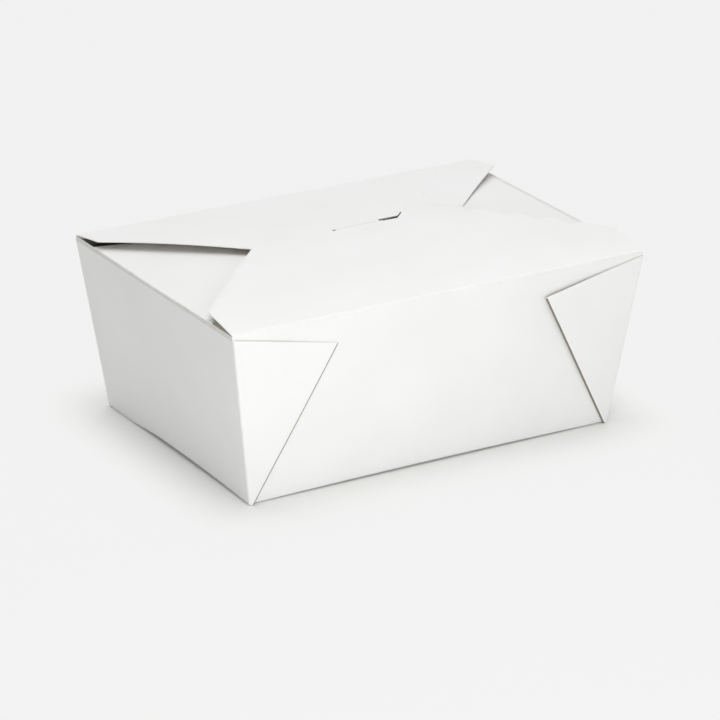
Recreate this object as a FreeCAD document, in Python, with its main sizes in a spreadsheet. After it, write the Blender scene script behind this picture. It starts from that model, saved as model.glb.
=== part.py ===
"""Takeout food box: one folded sheet of white paperboard with a front lid flap that opens.

Millimetres. The origin is the middle of the bottom's underside. +X runs along the long side,
-Y is the side that opens, and +Z is up.
"""

import FreeCAD, Part

import os

import Sketcher

SIZES = [
    ("bottom_length", 200.0),
    ("bottom_width", 140.0),
    ("top_length", 225.9),
    ("top_width", 156.2),
    ("wall_height", 89.3),
    ("board", 0.5),
    ("corner_radius", 1.4),
    ("base_radius", 1.1),
    ("web_tip_offset", 57.0),
    ("web_tip_height", 75.2),
    ("web_drop", 2.1),
    ("web_foot", 2.4),
    ("lid_rise", 8.1),
    ("lap_gap", 0.3),
    ("crease_gap", 0.08),
    ("flap_inset", 0.35),
    ("flap_knee", 22.8),
    ("free_edge", 0.8),
    ("ear_edge", 12.2),
    ("ear_left", 33.5),
    ("notch_floor", 1.9),
    ("tongue_left", 11.7),
    ("tongue_right", 14.1),
    ("tongue_line", 2.4),
    ("tongue_drop", 9.0),
    ("tongue_lean", 1.8),
    ("slit_left", 12.7),
    ("slit_near", 1.6),
    ("slit_width", 3.0),
    ("hook_start", 24.0),
    ("hook_reach", 7.0),
    ("back_flap_reach", 88.0),
    ("end_drop", 1.3),
    ("end_flap_reach", 58.0),
    ("end_flap_rise", 6.0),
    ("end_flap_half", 58.0),
    ("end_flap_tip_half", 30.0),
]

doc = FreeCAD.newDocument("takeout_food_box")
sizes = doc.addObject("Spreadsheet::Sheet", "sizes")
for row, (alias, value) in enumerate(SIZES, start=1):
    sizes.set(f"A{row}", alias)
    sizes.set(f"B{row}", str(value))
    sizes.setAlias(f"B{row}", alias)
doc.recompute()

# Lengths that several pieces share, as expressions of the sheet's cells. The walls lean by a few
# degrees only, so the board's thickness is laid off level in them.
HINGE_Y = "(sizes.top_width / 2 - 2 * sizes.board)"
HALF_TOP = "(sizes.top_length / 2)"
FLAP_END = "(sizes.top_length / 2 - sizes.flap_inset)"
WALL_TOP = "(sizes.wall_height - sizes.board / 2)"
END_CREASE = "(sizes.wall_height - sizes.end_drop)"
UNDER_RISE = "(sizes.lid_rise - sizes.board - sizes.lap_gap)"
REACH_OUT = "(sizes.top_length)"


def half_length(height):
    """Half the box's length at a height, to the outside of its end walls."""
    slope = "(sizes.top_length - sizes.bottom_length) / (2 * sizes.wall_height)"
    return f"(sizes.bottom_length / 2 + {slope} * ({height}))"


def half_width(height):
    """Half the box's width at a height, to the outside of its webs."""
    slope = "(sizes.top_width - sizes.bottom_width) / (2 * sizes.wall_height)"
    return f"(sizes.bottom_width / 2 + {slope} * ({height}))"


def vault_radius(rise):
    """Radius of the arc that spans the box between its long creases and rises by this much."""
    return f"(({HINGE_Y} ^ 2 + {rise} ^ 2) / (2 * {rise}))"


def vault_centre(rise):
    """Height of that arc's centre."""
    return f"(sizes.wall_height + {rise} - {vault_radius(rise)})"


def new_body(label):
    """An empty body of its own name."""
    body = doc.addObject("PartDesign::Body", label)
    body.Label = label
    return body


def new_sketch(body, name, plane, height="0"):
    """A sketch on one of the body's origin planes, moved along that plane's normal."""
    sketch = body.newObject("Sketcher::SketchObject", name)
    for feature in body.Origin.OriginFeatures:
        if feature.Role == plane:
            sketch.AttachmentSupport = [(feature, "")]
    sketch.MapMode = "FlatFace"
    sketch.setExpression("AttachmentOffset.Base.z", height)
    return sketch


def pin(sketch, geometry, end, across, up):
    """Place one end of a line or arc by its two distances from the sketch's origin."""
    for kind, expression in (("DistanceX", across), ("DistanceY", up)):
        here = sketch.getPoint(geometry, end)
        now = here.x if kind == "DistanceX" else here.y
        number = sketch.addConstraint(Sketcher.Constraint(kind, -1, 1, geometry, end, now))
        sketch.setExpression(f"Constraints[{number}]", expression)


def draw_outline(sketch, points):
    """A closed outline of straight lines, each corner pinned at its pair of expressions."""
    first = sketch.GeometryCount
    count = len(points)
    step = FreeCAD.Rotation(FreeCAD.Vector(0, 0, 1), 360.0 / count)
    corner = FreeCAD.Vector(10.0 * count, 0, 0)
    for _ in points:
        following = step.multVec(corner)
        sketch.addGeometry(Part.LineSegment(corner, following))
        corner = following
    for index in range(count):
        after = first + (index + 1) % count
        sketch.addConstraint(Sketcher.Constraint("Coincident", first + index, 2, after, 1))
    for index, (across, up) in enumerate(points):
        pin(sketch, first + index, 1, across, up)


def draw_rectangle(sketch, half_across, half_up):
    """A rectangle about the sketch's origin."""
    draw_outline(sketch, [
        (f"-{half_across}", f"-{half_up}"),
        (half_across, f"-{half_up}"),
        (half_across, half_up),
        (f"-{half_across}", half_up),
    ])


def round_edges(body, base, name, radius, chosen):
    """Round the edges of the last feature that the test chooses."""
    names = []
    for number, edge in enumerate(base.Shape.Edges, start=1):
        if chosen(edge):
            names.append(f"Edge{number}")
    fillet = body.newObject("PartDesign::Fillet", name)
    fillet.Base = (base, names)
    fillet.setExpression("Radius", radius)
    doc.recompute()
    return fillet


def rises(edge):
    """True for an edge that runs from the foot to the rim."""
    return edge.BoundBox.ZLength > sizes.wall_height / 2


def lies_lowest(base):
    """A test for the edges round the foot of a feature."""
    floor = min(corner.Z for corner in base.Shape.Vertexes) + sizes.board / 4
    return lambda edge: max(corner.Z for corner in edge.Vertexes) < floor


def cut_through(body, sketch, name):
    """Cut a sketch's shape out of the body, both ways and all the way."""
    cut = body.newObject("PartDesign::Pocket", name)
    cut.Profile = sketch
    cut.SideType = "Symmetric"
    cut.Type = "ThroughAll"
    doc.recompute()
    return cut


def trim_to(body, name, points):
    """Cut away all of a flap that lies outside an outline seen from above."""
    sketch = new_sketch(body, name, "XY_Plane")
    draw_rectangle(sketch, REACH_OUT, REACH_OUT)
    draw_outline(sketch, points)
    return cut_through(body, sketch, f"{name}_cut")


def section(half, low, high):
    """The corners of an upright section that widens from one height to another."""
    return [
        (f"-{half(low)}", low),
        (half(low), low),
        (half(high), high),
        (f"-{half(high)}", high),
    ]


def make_block(body, low, high, half_along, half_deep):
    """A block with four leaning sides, given its half sizes at any height."""
    long_section = new_sketch(body, f"{body.Label}_long_section", "XZ_Plane")
    draw_outline(long_section, section(half_along, low, high))
    block = body.newObject("PartDesign::Pad", f"{body.Label}_pad")
    block.Profile = long_section
    block.SideType = "Symmetric"
    block.setExpression("Length", "2 * sizes.top_width")
    doc.recompute()
    cross_section = new_sketch(body, f"{body.Label}_cross_section", "YZ_Plane")
    draw_rectangle(cross_section, REACH_OUT, REACH_OUT)
    draw_outline(cross_section, section(half_deep, low, high))
    return cut_through(body, cross_section, f"{body.Label}_cross_cut")


# Walls


def wall_width(height):
    """Half the width over the front and back walls, which lie two layers inside the webs."""
    return f"({half_width(height)} - 2 * sizes.board)"


def cavity_length(height):
    """Half the length of the space inside."""
    return f"({half_length(height)} - sizes.board)"


def cavity_width(height):
    """Half the width of the space inside."""
    return f"({half_width(height)} - 3 * sizes.board)"


def make_wall_block():
    """The outside of the bottom and the four walls, before the space inside is taken out."""
    body = new_body("wall_block")
    block = make_block(body, "0", WALL_TOP, half_length, wall_width)
    round_edges(body, block, "wall_base_folds", "sizes.base_radius", lies_lowest(block))
    return body


def make_web_block():
    """The glued corner webs, two layers thick, with the end walls that they fold round from."""
    body = new_body("web_block")
    block = make_block(body, "0", WALL_TOP, half_length, half_width)
    corners = round_edges(body, block, "web_corner_folds", "sizes.corner_radius", rises)
    round_edges(body, corners, "web_base_folds", "sizes.base_radius", lies_lowest(corners))
    foot = "(sizes.bottom_length / 2 - sizes.web_foot)"
    top = "(sizes.wall_height - sizes.web_drop)"
    past = f"({HALF_TOP} + sizes.web_foot)"
    right = [
        (foot, "-sizes.wall_height"),
        (foot, "0"),
        ("sizes.web_tip_offset", "sizes.web_tip_height"),
        (half_length(top), top),
        (past, top),
        (past, "2 * sizes.wall_height"),
    ]
    left = [(f"-{across}", up) for across, up in reversed(right)]
    between = new_sketch(body, "between_webs", "XZ_Plane")
    draw_outline(between, right + left)
    cut_through(body, between, "between_webs_cut")
    return body


def make_cavity():
    """The space inside, with the folds' inner radii."""
    body = new_body("cavity")
    above = "(sizes.wall_height + sizes.board)"
    block = make_block(body, "sizes.board", above, cavity_length, cavity_width)
    inner = "(sizes.corner_radius - sizes.board)"
    corners = round_edges(body, block, "inner_corner_folds", inner, rises)
    inner_base = "(sizes.base_radius - sizes.board)"
    round_edges(body, corners, "inner_base_folds", inner_base, lies_lowest(corners))
    return body


def make_crease_relief():
    """The strip taken off the wall tops where the front flap lies over them."""
    relief = doc.addObject("Part::Box", "crease_relief")
    relief.setExpression("Length", "2 * sizes.top_length")
    relief.setExpression("Width", "sizes.top_width / 2")
    relief.setExpression("Height", "sizes.wall_height")
    relief.setExpression("Placement.Base.x", "-sizes.top_length")
    relief.setExpression("Placement.Base.y", "sizes.flap_knee - sizes.top_width")
    relief.setExpression("Placement.Base.z", "sizes.wall_height - sizes.board - sizes.crease_gap")
    return relief


def make_end_relief():
    """The strips taken off the end walls, whose creases lie lower than the long ones."""
    right = doc.addObject("Part::Box", "right_end_relief")
    right.setExpression("Length", "sizes.top_length")
    right.setExpression("Width", "2 * sizes.top_width")
    right.setExpression("Height", "sizes.wall_height")
    right.setExpression("Placement.Base.x", f"{HALF_TOP} - 1.5 * sizes.board")
    right.setExpression("Placement.Base.y", "-sizes.top_width")
    right.setExpression("Placement.Base.z", f"{END_CREASE} - sizes.board / 2")
    return [right, mirrored(right, "left_end_relief")]


def mirrored(source, name):
    """The same piece on the other side of the box's middle."""
    other = doc.addObject("Part::Mirroring", name)
    other.Source = source
    other.Normal = FreeCAD.Vector(1, 0, 0)
    return other


def make_tray():
    """Bottom, walls and webs as one folded shell."""
    outside = doc.addObject("Part::MultiFuse", "outside")
    outside.Shapes = [make_wall_block(), make_web_block()]
    outside.Refine = True
    hollow = doc.addObject("Part::Cut", "hollow")
    hollow.Base = outside
    hollow.Tool = make_cavity()
    reliefs = doc.addObject("Part::MultiFuse", "reliefs")
    reliefs.Shapes = [make_crease_relief()] + make_end_relief()
    tray = doc.addObject("Part::Cut", "tray")
    tray.Base = hollow
    tray.Tool = reliefs
    doc.recompute()
    return tray


# Flaps


def make_vault(body, name, rise, near, far):
    """A sheet bowed over the box's depth, from near to far, with its top on the vault's arc."""
    profile = new_sketch(body, f"{name}_profile", "YZ_Plane")
    height = float(sizes.wall_height)
    span = float(sizes.top_width) / 3
    start = [FreeCAD.Vector(-span, height, 0), FreeCAD.Vector(span, height, 0)]
    middle = FreeCAD.Vector(0, height + float(sizes.lid_rise) / 2, 0)
    inward = FreeCAD.Vector(0, -float(sizes.board), 0)
    profile.addGeometry(Part.Arc(start[0], middle, start[1]))
    profile.addGeometry(Part.Arc(start[0] + inward, middle + inward, start[1] + inward))
    profile.addGeometry(Part.LineSegment(start[0], start[0] + inward))
    profile.addGeometry(Part.LineSegment(start[1], start[1] + inward))
    left_end = 2 if profile.getPoint(0, 2).x < 0 else 1
    right_end = 3 - left_end
    for arc, line_end in ((0, 1), (1, 2)):
        profile.addConstraint(Sketcher.Constraint("Coincident", arc, left_end, 2, line_end))
        profile.addConstraint(Sketcher.Constraint("Coincident", arc, right_end, 3, line_end))
    pin(profile, 0, 3, "0", vault_centre(rise))
    profile.addConstraint(Sketcher.Constraint("Coincident", 0, 3, 1, 3))
    for arc, radius in ((0, vault_radius(rise)), (1, f"({vault_radius(rise)} - sizes.board)")):
        now = profile.Geometry[arc].Radius
        number = profile.addConstraint(Sketcher.Constraint("Radius", arc, now))
        profile.setExpression(f"Constraints[{number}]", radius)
        for end, across in ((left_end, near), (right_end, far)):
            now = profile.getPoint(arc, end).x
            number = profile.addConstraint(Sketcher.Constraint("DistanceX", -1, 1, arc, end, now))
            profile.setExpression(f"Constraints[{number}]", across)
    sheet = body.newObject("PartDesign::Pad", f"{name}_sheet")
    sheet.Profile = profile
    sheet.SideType = "Symmetric"
    sheet.setExpression("Length", f"2 * {FLAP_END}")
    doc.recompute()
    return sheet


def make_back_flap():
    """The flap under the front one, with the hooked slit of the lock."""
    body = new_body("back_flap")
    near = f"({HINGE_Y} - sizes.back_flap_reach)"
    make_vault(body, "back_flap", UNDER_RISE, near, HINGE_Y)
    knee = f"({HINGE_Y} - sizes.flap_knee)"
    front_end = f"({FLAP_END} + {near} - {knee})"
    right = [
        (front_end, near),
        (FLAP_END, knee),
        (FLAP_END, f"({HINGE_Y} + sizes.board)"),
    ]
    left = [(f"-{across}", up) for across, up in reversed(right)]
    trim_to(body, "back_flap_outline", right + left)
    far = "(sizes.slit_near + sizes.slit_width)"
    turn = "(sizes.hook_start + sizes.slit_width - sizes.slit_width * sqrt(2))"
    tip = ("(sizes.hook_start + sizes.hook_reach)", "(sizes.slit_near + sizes.hook_reach)")
    across_tip = "(sizes.slit_width / sqrt(2))"
    slit = new_sketch(body, "slit", "XY_Plane")
    draw_outline(slit, [
        ("-sizes.slit_left", "sizes.slit_near"),
        ("sizes.hook_start", "sizes.slit_near"),
        tip,
        (f"{tip[0]} - {across_tip}", f"{tip[1]} + {across_tip}"),
        (turn, far),
        ("-sizes.slit_left", far),
    ])
    cut_through(body, slit, "slit_cut")
    return body


def make_end_flap():
    """The right end's flap, which rises inwards under the long flaps."""
    body = new_body("right_end_flap")
    profile = new_sketch(body, "end_flap_profile", "XZ_Plane")
    root = half_length(END_CREASE)
    inner = f"({root} - sizes.end_flap_reach)"
    top = f"({END_CREASE} + sizes.end_flap_rise)"
    draw_outline(profile, [
        (root, END_CREASE),
        (inner, top),
        (inner, f"({top} - sizes.board)"),
        (root, f"({END_CREASE} - sizes.board)"),
    ])
    sheet = body.newObject("PartDesign::Pad", "end_flap_sheet")
    sheet.Profile = profile
    sheet.SideType = "Symmetric"
    sheet.setExpression("Length", "2 * sizes.end_flap_half")
    doc.recompute()
    trim_to(body, "end_flap_outline", [
        (inner, "-sizes.end_flap_tip_half"),
        (root, "-sizes.end_flap_half"),
        (root, "sizes.end_flap_half"),
        (inner, "sizes.end_flap_tip_half"),
    ])
    return body


def make_carton():
    """Everything of the sheet that stays put while the front flap opens."""
    tray = make_tray()
    end_flap = make_end_flap()
    carton = doc.addObject("Part::MultiFuse", "carton")
    carton.Shapes = [tray, make_back_flap(), end_flap, mirrored(end_flap, "left_end_flap")]
    carton.Refine = True
    carton.Label = "carton"
    doc.recompute()
    return carton


def make_front_flap():
    """The flap that opens, with the tongue and the ear of the lock."""
    body = new_body("front_flap")
    make_vault(body, "front_flap", "sizes.lid_rise", f"-{HINGE_Y}", "sizes.ear_edge")
    knee = f"(sizes.flap_knee - {HINGE_Y})"
    crease = f"(-{HINGE_Y} - sizes.board)"
    trim_to(body, "front_flap_outline", [
        (f"-{FLAP_END}", crease),
        (FLAP_END, crease),
        (FLAP_END, knee),
        (f"({FLAP_END} + {knee} - sizes.ear_edge)", "sizes.ear_edge"),
        ("sizes.ear_left", "sizes.ear_edge"),
        ("(sizes.ear_left - sizes.ear_edge + sizes.notch_floor)", "sizes.notch_floor"),
        ("sizes.tongue_right", "sizes.notch_floor"),
        ("sizes.tongue_right", "sizes.tongue_line"),
        ("-sizes.tongue_left", "sizes.tongue_line"),
        ("-sizes.tongue_left", "sizes.free_edge"),
        (f"(-{FLAP_END} - {knee} + sizes.free_edge)", "sizes.free_edge"),
        (f"-{FLAP_END}", knee),
    ])
    top = (f"({vault_centre('sizes.lid_rise')}"
           f" + sqrt({vault_radius('sizes.lid_rise')} ^ 2 - sizes.tongue_line ^ 2))")
    tip = f"({top} - sizes.tongue_drop)"
    profile = new_sketch(body, "tongue_profile", "YZ_Plane", "-sizes.tongue_left")
    draw_outline(profile, [
        ("sizes.tongue_line", top),
        ("(sizes.tongue_line + sizes.tongue_lean)", tip),
        ("(sizes.tongue_line + sizes.tongue_lean - sizes.board)", tip),
        ("(sizes.tongue_line - sizes.board)", top),
    ])
    tongue = body.newObject("PartDesign::Pad", "tongue")
    tongue.Profile = profile
    tongue.setExpression("Length", "sizes.tongue_left + sizes.tongue_right")
    doc.recompute()
    return body


def check_document():
    """Stop on any object that failed to build."""
    for item in doc.Objects:
        if "Invalid" in item.State or "Error" in item.State:
            raise RuntimeError(f"{item.Label} did not build: {item.State}")


subparts = [make_carton(), make_front_flap()]
doc.recompute()
check_document()
os.makedirs("parts", exist_ok=True)
for subpart in subparts:
    shape = subpart.Shape
    if shape.isNull() or not shape.isValid() or len(shape.Solids) != 1:
        raise RuntimeError(f"{subpart.Label} is not one sound solid")
    shape.exportStep(f"parts/{subpart.Label}.step")
    print(f"{subpart.Label}: {shape.Volume:.1f} mm3, {len(shape.Faces)} faces, {shape.BoundBox}")
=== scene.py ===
"""Takeout food box: the finished look of a folded paperboard carton with a lid flap that opens.

Metres, in the same frame as the solids: +X along the long side, -Y the side that opens, +Z up.
"""

import bisect
import math

import bmesh
import bpy
from bpy.props import FloatProperty, FloatVectorProperty, PointerProperty
from mathutils import Matrix, Vector


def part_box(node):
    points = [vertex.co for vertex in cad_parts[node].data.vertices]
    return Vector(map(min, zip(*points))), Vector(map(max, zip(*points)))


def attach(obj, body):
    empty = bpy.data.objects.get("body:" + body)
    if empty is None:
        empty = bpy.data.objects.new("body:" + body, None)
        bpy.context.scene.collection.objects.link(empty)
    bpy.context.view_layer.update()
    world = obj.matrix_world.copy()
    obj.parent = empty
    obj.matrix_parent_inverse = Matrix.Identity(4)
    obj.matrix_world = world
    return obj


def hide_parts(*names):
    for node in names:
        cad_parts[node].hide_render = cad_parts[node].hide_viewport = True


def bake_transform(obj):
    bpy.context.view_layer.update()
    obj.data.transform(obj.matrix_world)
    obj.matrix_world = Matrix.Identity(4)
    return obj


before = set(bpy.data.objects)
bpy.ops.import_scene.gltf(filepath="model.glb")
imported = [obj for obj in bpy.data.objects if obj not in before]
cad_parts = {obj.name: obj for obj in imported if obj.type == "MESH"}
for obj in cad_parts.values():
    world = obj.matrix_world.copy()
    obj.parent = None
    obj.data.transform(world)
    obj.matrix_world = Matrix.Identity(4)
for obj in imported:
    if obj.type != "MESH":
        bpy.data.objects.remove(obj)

bl_info = {
    "name": "Takeout food box",
    "version": (1, 0, 0),
    "blender": (4, 5, 0),
    "location": "View3D > Sidebar > Food box",
    "description": "Builds a folded paperboard takeout carton with its lid flaps and studio",
    "category": "Object",
}

CARTON_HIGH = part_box("carton")[1]
FLAP_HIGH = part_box("front_flap")[1]
CARTON_BODY = "carton"

# The crease finish and the fold finish are painted shade, not finishes the board has: they darken
# the end creases and the webs' slanting folds.
FINISHES = ("coated_side", "plain_side", "cut_edge", "crease", "painted_fold_shadow", "plain_bottom")
OUTSIDE, INSIDE, CUT_EDGE, PAINTED_CREASE_SHADE, PAINTED_FOLD_SHADOW, BOTTOM = range(len(FINISHES))
MILLIMETRE = 0.001

# Where the board is divided into faces
MERGE = 1e-7
SHARP_ANGLE = math.radians(32)
BEVEL = 0.00008
WEB_BEVEL = 0.00007
CORNER_STEPS = 8
WALL_COLUMNS = (28, 18)
WALL_STEP = 0.006
BOTTOM_RINGS = (0.2, 0.4, 0.55, 0.65, 0.72, 0.79, 0.86, 0.93)
WEB_STEP = 0.008
FLAP_STEP = 0.003
LONG_FLAP_COLUMN = 0.012
END_FLAP_COLUMN = 0.01

# Bow of the walls and arch of the foot
FRONT_BELLY = 0.3 * MILLIMETRE
END_BELLY = 0.1 * MILLIMETRE
HOLLOW_BY_WEB = {-1: -0.7 * MILLIMETRE, 1: 0.7 * MILLIMETRE}
HOLLOW_START = (0.025, 0.055)
HOLLOW_END = (0.0014, 0.045)
STRAIGHT_RIM = 0.8 * MILLIMETRE
END_FOOT_ARCH = 1.9 * MILLIMETRE
LONG_FOOT_ARCH = 0.9 * MILLIMETRE
BACK_OF_ARCH = (0.02, 0.05)
ARCH_HEIGHT = 0.03
BOTTOM_TOP = 4 * MILLIMETRE

# Webs
WEB_LOW = 0.0002
UNDER_LAYER_SHORT = 0.0009
WEB_CORNER = 0.0006
STAND_LENGTH = 0.045
# Faces of a web within this reach of its slanting fold get the painted fold shadow: dark brown
# standing in for the shadow in the gap between the fold and the wall.
FOLD_SHADOW_REACH = 0.65 * MILLIMETRE
FOLD_STRIP = 0.0002
FACES_WALL = 0.3

# Flaps
FLAP_INSET = 0.35 * MILLIMETRE
SIDE_START = 0.0009
LONG_POWER = 2.0
HOLLOW = 0.12 * MILLIMETRE
HOLLOW_REACH = 1.3
HOLLOW_WAVE = (42.0, 25.0, 1.1)
ROOT_END = 1e-5
BACK_CORNER = 0.0008
SLIT_CORNER = 0.0004
SLIT = [
    (-0.0127, 0.0016),
    (0.024, 0.0016),
    (0.031, 0.0086),
    (0.02955, 0.01005),
    (0.0257, 0.0062),
    (0.0143, 0.0062),
    (0.0143, 0.0041),
    (-0.0127, 0.0041),
]
END_CORNER = 0.0005
END_CREASE_BEND = {-1: (0.001, 0.0), 1: (0.0, -0.0003)}
END_SHAPE = {-1: (5.2 * MILLIMETRE, 1.3), 1: (7.8 * MILLIMETRE, 1.9)}
# Faces of an end flap this low over its crease and turned this far outwards get the painted crease
# shade.
CREASE_TOP = 0.4 * MILLIMETRE
CREASE_FACES_OUT = 0.2
FRONT_CORNER = 0.0006
FREE_EDGE = 0.8 * MILLIMETRE
EAR_EDGE = 12.2 * MILLIMETRE
EAR_LEFT = 33.5 * MILLIMETRE
NOTCH_FLOOR = 1.9 * MILLIMETRE
NOTCH_CUT = 0.6 * MILLIMETRE
TONGUE_LEFT = 11.7 * MILLIMETRE
TONGUE_RIGHT = 14.1 * MILLIMETRE
TONGUE_DROP = 8.0 * MILLIMETRE
TONGUE_TAPER = 0.002
TONGUE_LEAN = math.radians(-10)
TONGUE_BEND = 0.0006

# Camera, lamps and floor
CAMERA_PLACE = (-0.91175, -1.50508, 0.73374)
CAMERA_AZIMUTH = math.radians(-31.246)
CAMERA_ELEVATION = math.radians(21.841)
CAMERA_ROLL = math.radians(0.513)
CAMERA_LENS = 195.14
OVERHEAD_FROM = (0.06, 0.2, 1.0)
OVERHEAD_SPREAD = math.radians(60)
LOW_PLACE = (-0.2, -0.6, 0.14)
HIGH_PLACE = (-0.1, -0.45, 0.9)
LAMP_SIZE = 0.3
FLOOR_REACH = 6.0
FLOOR_BLEND = (0.004, 0.04)


# What a user may change


def length(name, description, default):
    """A length property in metres."""
    return FloatProperty(name=name, description=description, default=default, unit="LENGTH",
                         subtype="DISTANCE", precision=5)


def shade(name, description, default):
    """A colour property."""
    return FloatVectorProperty(name=name, description=description, default=default,
                               subtype="COLOR", min=0.0, max=1.0)


class FoodBoxSizes(bpy.types.PropertyGroup):
    """Lengths of the folded board."""

    board: length("Board", "Thickness of the paperboard", 0.0005)
    bottom_length: length("Bottom length", "Outside length at the foot", 0.2)
    bottom_width: length("Bottom width", "Outside width at the foot, over the webs", 0.14)
    top_length: length("Top length", "Outside length at the rim", 0.2259)
    top_width: length("Top width", "Outside width at the rim, over the webs", 0.1562)
    wall_height: length("Wall height", "Height of the creases that the long flaps turn on", 0.0893)
    end_drop: length("End drop", "How far the end flaps' creases lie below the long ones", 0.0013)
    root: length("Root", "How far below the long creases the flaps' sheets begin", 0.003)
    web_tip_offset: length("Web tip offset", "Distance of a web's tip from the middle", 0.057)
    web_tip_height: length("Web tip height", "Height of a web's tip", 0.0752)
    web_drop: length("Web drop", "How far a web ends below the creases", 0.0021)
    web_stand: length("Web stand-off", "How far a web's slanting fold stands off", 0.0007)
    web_foot: length("Web foot", "Width of a web at the foot", 0.0024)
    corner_radius: length("Corner fold", "Outer radius of the upright folds", 0.0011)
    base_radius: length("Base fold", "Outer radius of the folds round the foot", 0.0011)
    crease_radius: length("Crease", "Outer radius of the creases of the flaps", 0.0008)
    front_rise: length("Front flap rise", "Rise of the front flap over its crease",
                       FLAP_HIGH[2] - 0.0893)
    back_rise: length("Back flap rise", "Rise of the back flap over its crease", 0.0073)
    flap_knee: length("Knee", "Depth of a long flap before its ends are cut slanting", 0.0228)
    back_reach: length("Back flap reach", "Depth of the back flap", 0.088)
    end_reach: length("End flap reach", "Depth of an end flap", 0.058)
    end_half: length("End flap root", "Half the width of an end flap at its crease", 0.058)
    end_tip_half: length("End flap tip", "Half the width of an end flap at its free edge", 0.03)


class FoodBoxFinish(bpy.types.PropertyGroup):
    """Colours of the board, and of the shade painted along its end creases and the webs' folds."""

    coated: shade("Coated side", "Clay-coated outside", (0.865, 0.866, 0.862))
    coated_shade: shade("Coated side, deeper", "Where the coat is thinner", (0.835, 0.835, 0.826))
    plain: shade("Plain side", "Uncoated inside", (0.62, 0.58, 0.52))
    cut: shade("Cut edge", "Die-cut edge of the board", (0.93, 0.925, 0.905))
    # Painted shade: the next colour darkens the outward faces round the end creases, standing in
    # for shade along those folds.
    crease: shade("Crease", "Pressed line of an end crease", (0.68, 0.675, 0.65))
    # Painted shadow: the next colour is laid along each web's slanting fold in place of the shadow
    # in the gap beside it.
    core: shade("Fold core", "Core of the board along a sharp fold", (0.2, 0.17, 0.14))


class FoodBoxStudio(bpy.types.PropertyGroup):
    """Camera, floor and light."""

    floor: shade("Floor", "Colour of the floor", (0.87, 0.87, 0.855))
    background: shade("Background", "Plain tone that the camera sees round the box",
                      (0.887, 0.887, 0.885))
    evenness: FloatProperty(name="Evenness", description="Share of the plain tone in the floor",
                            default=0.96, min=0.0, max=1.0)
    sky: FloatProperty(name="Sky", description="Strength of the even light", default=0.36)
    overhead: FloatProperty(name="Overhead", description="Strength of the overhead light",
                            default=1.63)
    low: FloatProperty(name="Low lamp", description="Power of the low lamp in front",
                       default=1.3)
    high: FloatProperty(name="High lamp", description="Power of the high lamp at the front left",
                        default=1.0)


def lerp(low, high, share):
    """The value that lies this share of the way from low to high."""
    return low + (high - low) * share


def smooth(value, low, high):
    """0 below low, 1 above high and an even curve between."""
    share = min(max((value - low) / (high - low), 0.0), 1.0)
    return share * share * (3 - 2 * share)


# Lengths that follow from the sizes


def half_length(height):
    """Half the length at a height, to the outside of the end walls."""
    sizes = bpy.context.scene.food_box_sizes
    return lerp(sizes.bottom_length, sizes.top_length, height / sizes.wall_height) / 2


def half_width(height):
    """Half the width at a height, to the outside of the webs."""
    sizes = bpy.context.scene.food_box_sizes
    return lerp(sizes.bottom_width, sizes.top_width, height / sizes.wall_height) / 2


def belly(along, half, height, depth):
    """How far a wall bows outwards: most in its middle, nothing at its folds."""
    sizes = bpy.context.scene.food_box_sizes
    if abs(along) >= half:
        return 0.0
    level = min(max(height / sizes.wall_height, 0.0), 1.0)
    return depth * math.sin(math.pi * level) * math.cos(math.pi * along / (2 * half)) ** 2


def front_bow(along, half, height):
    """How far a long wall bows out: in its middle and by the left web, and in by the right one."""
    sizes = bpy.context.scene.food_box_sizes
    top = sizes.wall_height - STRAIGHT_RIM
    beside = smooth(abs(along), *HOLLOW_START) * smooth(half - abs(along), *HOLLOW_END)
    level = smooth(height, 0.0, ARCH_HEIGHT) * (1 - smooth(height, sizes.web_tip_height, top))
    hollow = HOLLOW_BY_WEB[1 if along > 0 else -1]
    return belly(along, half, height, FRONT_BELLY) - hollow * beside * level


def end_bow(along, half, height):
    """How far an end wall bows out."""
    return belly(along, half, height, END_BELLY)


# Mesh making


def rounded(points, radius, steps=4):
    """The outline with each corner turned on a small radius."""
    outline = []
    count = len(points)
    for index in range(count):
        corner = Vector(points[index])
        before = Vector(points[index - 1]) - corner
        after = Vector(points[(index + 1) % count]) - corner
        turn = math.pi - before.angle(after)
        reach = radius * math.tan(turn / 2)
        reach = min(reach, 0.45 * before.length, 0.45 * after.length)
        start = corner + before.normalized() * reach
        finish = corner + after.normalized() * reach
        for step in range(steps + 1):
            share = step / steps
            first = start.lerp(corner, share)
            second = corner.lerp(finish, share)
            outline.append(tuple(first.lerp(second, share)))
    return outline


def blank(loops, cuts):
    """A flat sheet within the first loop and outside the others, divided along the cut lines."""
    flat = bmesh.new()
    edges = []
    for loop in loops:
        corners = [flat.verts.new((across, up, 0.0)) for across, up in loop]
        edges += [flat.edges.new(pair) for pair in zip(corners, corners[1:] + corners[:1])]
    bmesh.ops.triangle_fill(flat, use_beauty=True, edges=edges, normal=(0, 0, 1))
    for point, normal in cuts:
        everything = flat.verts[:] + flat.edges[:] + flat.faces[:]
        bmesh.ops.bisect_plane(flat, geom=everything, dist=MERGE, plane_co=(*point, 0.0),
                               plane_no=(*normal, 0.0))
    return flat


def rows(values, axis):
    """Cut lines at these values of one of the blank's two coordinates."""
    normal = (1.0, 0.0) if axis == 0 else (0.0, 1.0)
    return [((value, 0.0) if axis == 0 else (0.0, value), normal) for value in values]


def spaced(low, high, step):
    """Evenly spaced values strictly between two ends, about a step apart."""
    count = max(1, round((high - low) / step))
    return [lerp(low, high, index / count) for index in range(1, count)]


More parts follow.
